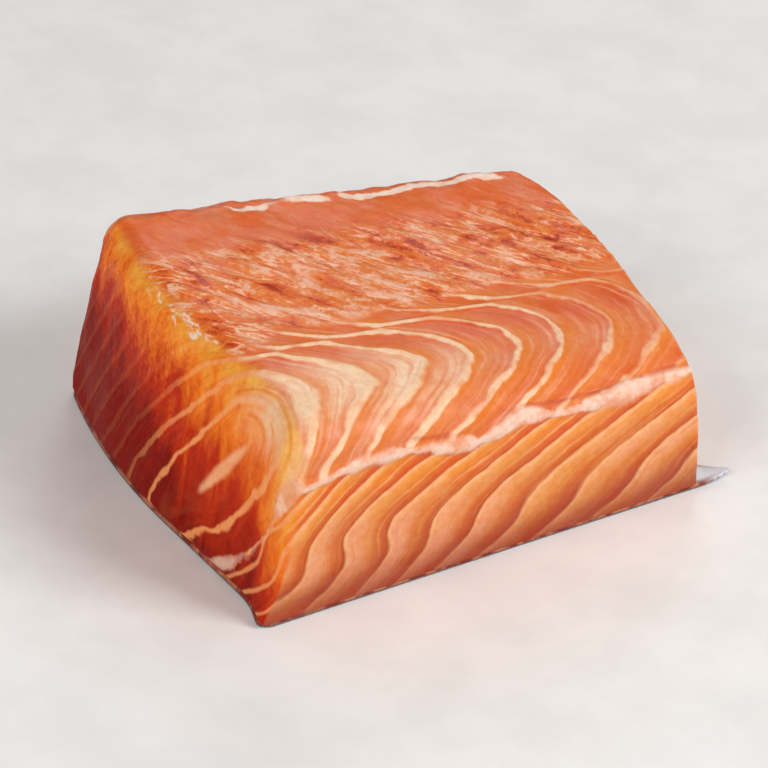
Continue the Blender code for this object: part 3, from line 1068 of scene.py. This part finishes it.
def makeFleshMaterial():
    look = shaderValues(fleshLook)
    material, tree, shader = newMaterial("salmonFleshLook")
    field = fleshFields(tree)
    place, cut = field["place"], field["thickCut"]
    flakes = lowerFlakes(tree, look, field)
    torn, mottle = tornTop(tree, look, field)
    cutAbove, cutBelow = thickEndColours(tree, look, field, flakes)
    above = tree.colourMix(field["torn"], upperFlakes(tree, look, field), torn)
    above = tree.colourMix(cut, above, cutAbove)
    below = tree.colourMix(cut, flakes, cutBelow)
    gap = tree.plus(
        field["seamGap"], tree.times(field["wobble"], 1.2), tree.times(field["crumble"], 0.5)
    )
    creviceShade, seam, seamColour = seamParts(tree, look, field, gap)

    # white flecks along the torn edge of the thick cut, and a painted highlight with pale fat
    # along the far rim
    fleck = tree.noise(tree.stretch(place, (1.0, 0.5, 1.0)), 520.0, 3.0, 0.6, 0.5)
    fleck = tree.step(tree.times(fleck, field["edgeSpot"]), 0.46, 0.56)
    # the far rim's bright line: pale fat with a painted highlight
    rim = tree.step(tree.plus(field["rimFatAndHighlight"], tree.times(field["wobble"], 0.9)), 0.42, 0.8)
    colour = tree.layered(
        below,
        (tree.step(gap, -0.1, 0.1), above),
        (creviceShade, look["creviceShade"]),
        (seam, seamColour),
        (tree.times(tree.maths("MAXIMUM", fleck, rim), 0.9), look["whiteFleckAndHighlight"]),
    )
    threads = tree.placed(fibres, Place=place, Fineness=1.0)["Threads"]
    grain = tree.colourMix(tree.step(threads, 0.25, 0.7), look["grainDeep"], look["grainPale"])
    colour = tree.colourMix(1.0, colour, grain, "MULTIPLY")

    film = tree.placed(moistFilm, Place=place, Size=1.0, Gloss=look["roughness"])
    relief = tree.plus(
        tree.times(film["Ripple"], 0.5), tree.times(threads, 0.5),
        tree.times(mottle, field["ragged"], 1.2), tree.times(seam, 0.5),
    )
    tree.put(shader["Base Color"], colour)
    tree.put(shader["Roughness"], film["Roughness"])
    wet = tree.times(film["Film"], tree.step(cut, 0.2, 0.9, 0.36, 0.06))
    tree.put(shader["Coat Weight"], wet)
    tree.put(shader["Normal"], tree.bump(relief, 0.6, 0.0006))
    shader["Coat Roughness"].default_value = 0.3
    shader["Specular IOR Level"].default_value = 0.08
    shader["Subsurface Weight"].default_value = 0.35
    shader["Subsurface Radius"].default_value = (1.0, 0.32, 0.14)
    shader["Subsurface Scale"].default_value = 0.0014
    shader["IOR"].default_value = 1.4
    return material


flesh.data.materials.append(makeFleshMaterial())

skinLook = {
    "silver": (206, 208, 212),
    "dark": (52, 50, 60),
    "steel": (120, 126, 138),
    "inner": (206, 212, 222),
    "edgeFleshShade": (138, 40, 24),
    "edgeDarkShadow": (84, 58, 52),
    "edgeFat": (196, 118, 84),
    "scaleSize": 1.9,  # millimetres
    "flankLine": 0.46,  # how far across the thin dark line along the fish's side runs
    "roughness": 0.3,
}


def makeSkinMaterial():
    look = shaderValues(skinLook)
    material, tree, shader = newMaterial("salmonSkinLook")
    place = tree.node("ShaderNodeTexCoord").outputs["Object"]
    across, inner = tree.attribute("across"), tree.attribute("innerSide")
    cutEdge = tree.attribute("cutEdge")
    threads = tree.placed(fibres, Place=place, Fineness=0.8)["Threads"]
    # diamond scales: slightly uneven cells turned an eighth of a round, a little squashed
    flat = tree.stretch(place, (1.0, 1.3, 0.05))
    flat = tree.stretch(flat, (1.0, 1.0, 1.0), (0.0, 0.0, math.radians(45.0)))
    scaleCount = perMetre / look["scaleSize"]
    edge = tree.cells(flat, scaleCount, "DISTANCE_TO_EDGE", uneven=0.3)
    scaleTone = tree.cells(flat, scaleCount, "F1", "Color", uneven=0.3)
    separate = tree.node("ShaderNodeSeparateColor")
    tree.put(separate.inputs[0], scaleTone)
    tone = separate.outputs[0]
    cloudy = tree.minus(tree.noise(place, 90.0, 3.0, 0.6), 0.5)
    back = tree.plus(across, tree.times(tree.minus(tone, 0.5), 0.16), tree.times(cloudy, 0.5))
    flank = tree.away(across, look["flankLine"])
    outer = tree.layered(
        tree.ramp(back, [(0.1, look["silver"]), (0.45, look["steel"]), (0.8, look["dark"])]),
        (tree.step(edge, 0.0, 0.12, 0.45, 0.0), look["dark"]),
        (tree.step(flank, 0.004, 0.012, 0.55, 0.0), look["dark"]),
    )
    innerColour = tree.colourMix(tree.step(threads, 0.35, 0.7), look["inner"], look["silver"])
    patchy = tree.step(tree.noise(place, 330.0, 3.0, 0.6), 0.42, 0.6)
    # the cut edge: flesh colour darkened as painted shade with fat patches, over a painted dark
    # shadow along its lower half
    edgeTop = tree.colourMix(patchy, look["edgeFleshShade"], look["edgeFat"])
    edgeColour = tree.colourMix(tree.step(inner, 0.25, 0.65), look["edgeDarkShadow"], edgeTop)
    innerShare = tree.step(inner, 0.6, 0.9)
    colour = tree.layered(outer, (innerShare, innerColour), (cutEdge, edgeColour))
    film = tree.placed(moistFilm, Place=place, Size=1.0, Gloss=look["roughness"])
    scaled = tree.times(tree.step(edge, 0.0, 0.12), tree.step(inner, 0.8, 0.3))
    relief = tree.plus(scaled, tree.times(threads, 0.3))
    tree.put(shader["Base Color"], colour)
    tree.put(shader["Roughness"], film["Roughness"])
    tree.put(shader["Metallic"], tree.step(inner, 0.4, 0.8, 0.35, 0.0))
    wet = tree.times(film["Film"], tree.step(cutEdge, 0.0, 0.6, 0.6, 0.05))
    tree.put(shader["Coat Weight"], wet)
    tree.put(shader["Normal"], tree.bump(relief, 0.4, 0.0003))
    shader["Coat Roughness"].default_value = 0.15
    shader["Specular IOR Level"].default_value = 0.25
    return material


skin.data.materials.append(makeSkinMaterial())
print("stage 5: materials made")

for piece, node in ((flesh, "flesh"), (skin, "skin")):
    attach(piece, "root")
    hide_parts(node)

# a plain pale floor, soft lights and the camera
studio = {
    "floorSize": 6.0,
    "floorColour": (236, 235, 233),
    "floorMottle": (244, 243, 241),
    "worldColour": (242, 240, 238),
    "worldStrength": 0.32,
    "aim": (0.0, 0.0, 0.0105),
    "azimuth": -38.50,
    "elevation": 32.21,
    "distance": 0.6101,
    "roll": 6.58,
    "lens": 185.0,
}

half = studio["floorSize"] / 2
floorCorners = [(-half, -half, 0.0), (half, -half, 0.0), (half, half, 0.0), (-half, half, 0.0)]
floor = makeMesh("floor", floorCorners, [(0, 1, 2, 3)])
floorMaterial, floorTree, floorShader = newMaterial("paleFloor")
floorPlace = floorTree.node("ShaderNodeTexCoord").outputs["Object"]
floorTone = floorTree.noise(floorPlace, 60.0, 3.0, 0.6)
floorTree.put(floorShader["Base Color"], floorTree.colourMix(
    floorTree.step(floorTone, 0.3, 0.7),
    tint(*studio["floorColour"]), tint(*studio["floorMottle"]),
))
floorShader["Roughness"].default_value = 0.6
floor.data.materials.append(floorMaterial)

world = bpy.data.worlds.new("studioWorld")
world.use_nodes = True
background = world.node_tree.nodes["Background"]
background.inputs[0].default_value = tint(*studio["worldColour"])
background.inputs[1].default_value = studio["worldStrength"]
bpy.context.scene.world = world

softLights = {
    "keyLight": {"from": (0.55, -0.75, 0.72), "distance": 0.8, "size": 0.34, "power": 3.85},
    "backLight": {"from": (0.50, 0.62, 0.55), "distance": 0.8, "size": 0.3, "power": 0.8},
    "fillLight": {"from": (-0.95, -0.3, 0.6), "distance": 0.9, "size": 0.5, "power": 3.6},
}
for name, light in softLights.items():
    data = bpy.data.lights.new(name, "AREA")
    data.shape = "SQUARE"
    data.size = light["size"]
    data.energy = light["power"]
    lamp = bpy.data.objects.new(name, data)
    direction = Vector(light["from"]).normalized()
    lamp.location = Vector(studio["aim"]) + direction * light["distance"]
    lamp.rotation_euler = (-direction).to_track_quat("-Z", "Y").to_euler()
    bpy.context.scene.collection.objects.link(lamp)

cameraData = bpy.data.cameras.new("camera")
cameraData.lens = studio["lens"]
cameraData.sensor_width = 36.0
cameraData.clip_start = 0.01
cameraData.clip_end = 20.0
camera = bpy.data.objects.new("camera", cameraData)
azimuth, elevation = math.radians(studio["azimuth"]), math.radians(studio["elevation"])
back = Vector((
    math.sin(azimuth) * math.cos(elevation),
    -math.cos(azimuth) * math.cos(elevation),
    math.sin(elevation),
))
camera.location = Vector(studio["aim"]) + back * studio["distance"]
turn = (-back).to_track_quat("-Z", "Y").to_matrix().to_4x4()
turn = turn @ Matrix.Rotation(math.radians(studio["roll"]), 4, "Z")
camera.rotation_euler = turn.to_euler()
bpy.context.scene.collection.objects.link(camera)
bpy.context.scene.camera = camera
bpy.context.scene.view_settings.view_transform = "Standard"
print("stage 6: floor, light and camera ready")
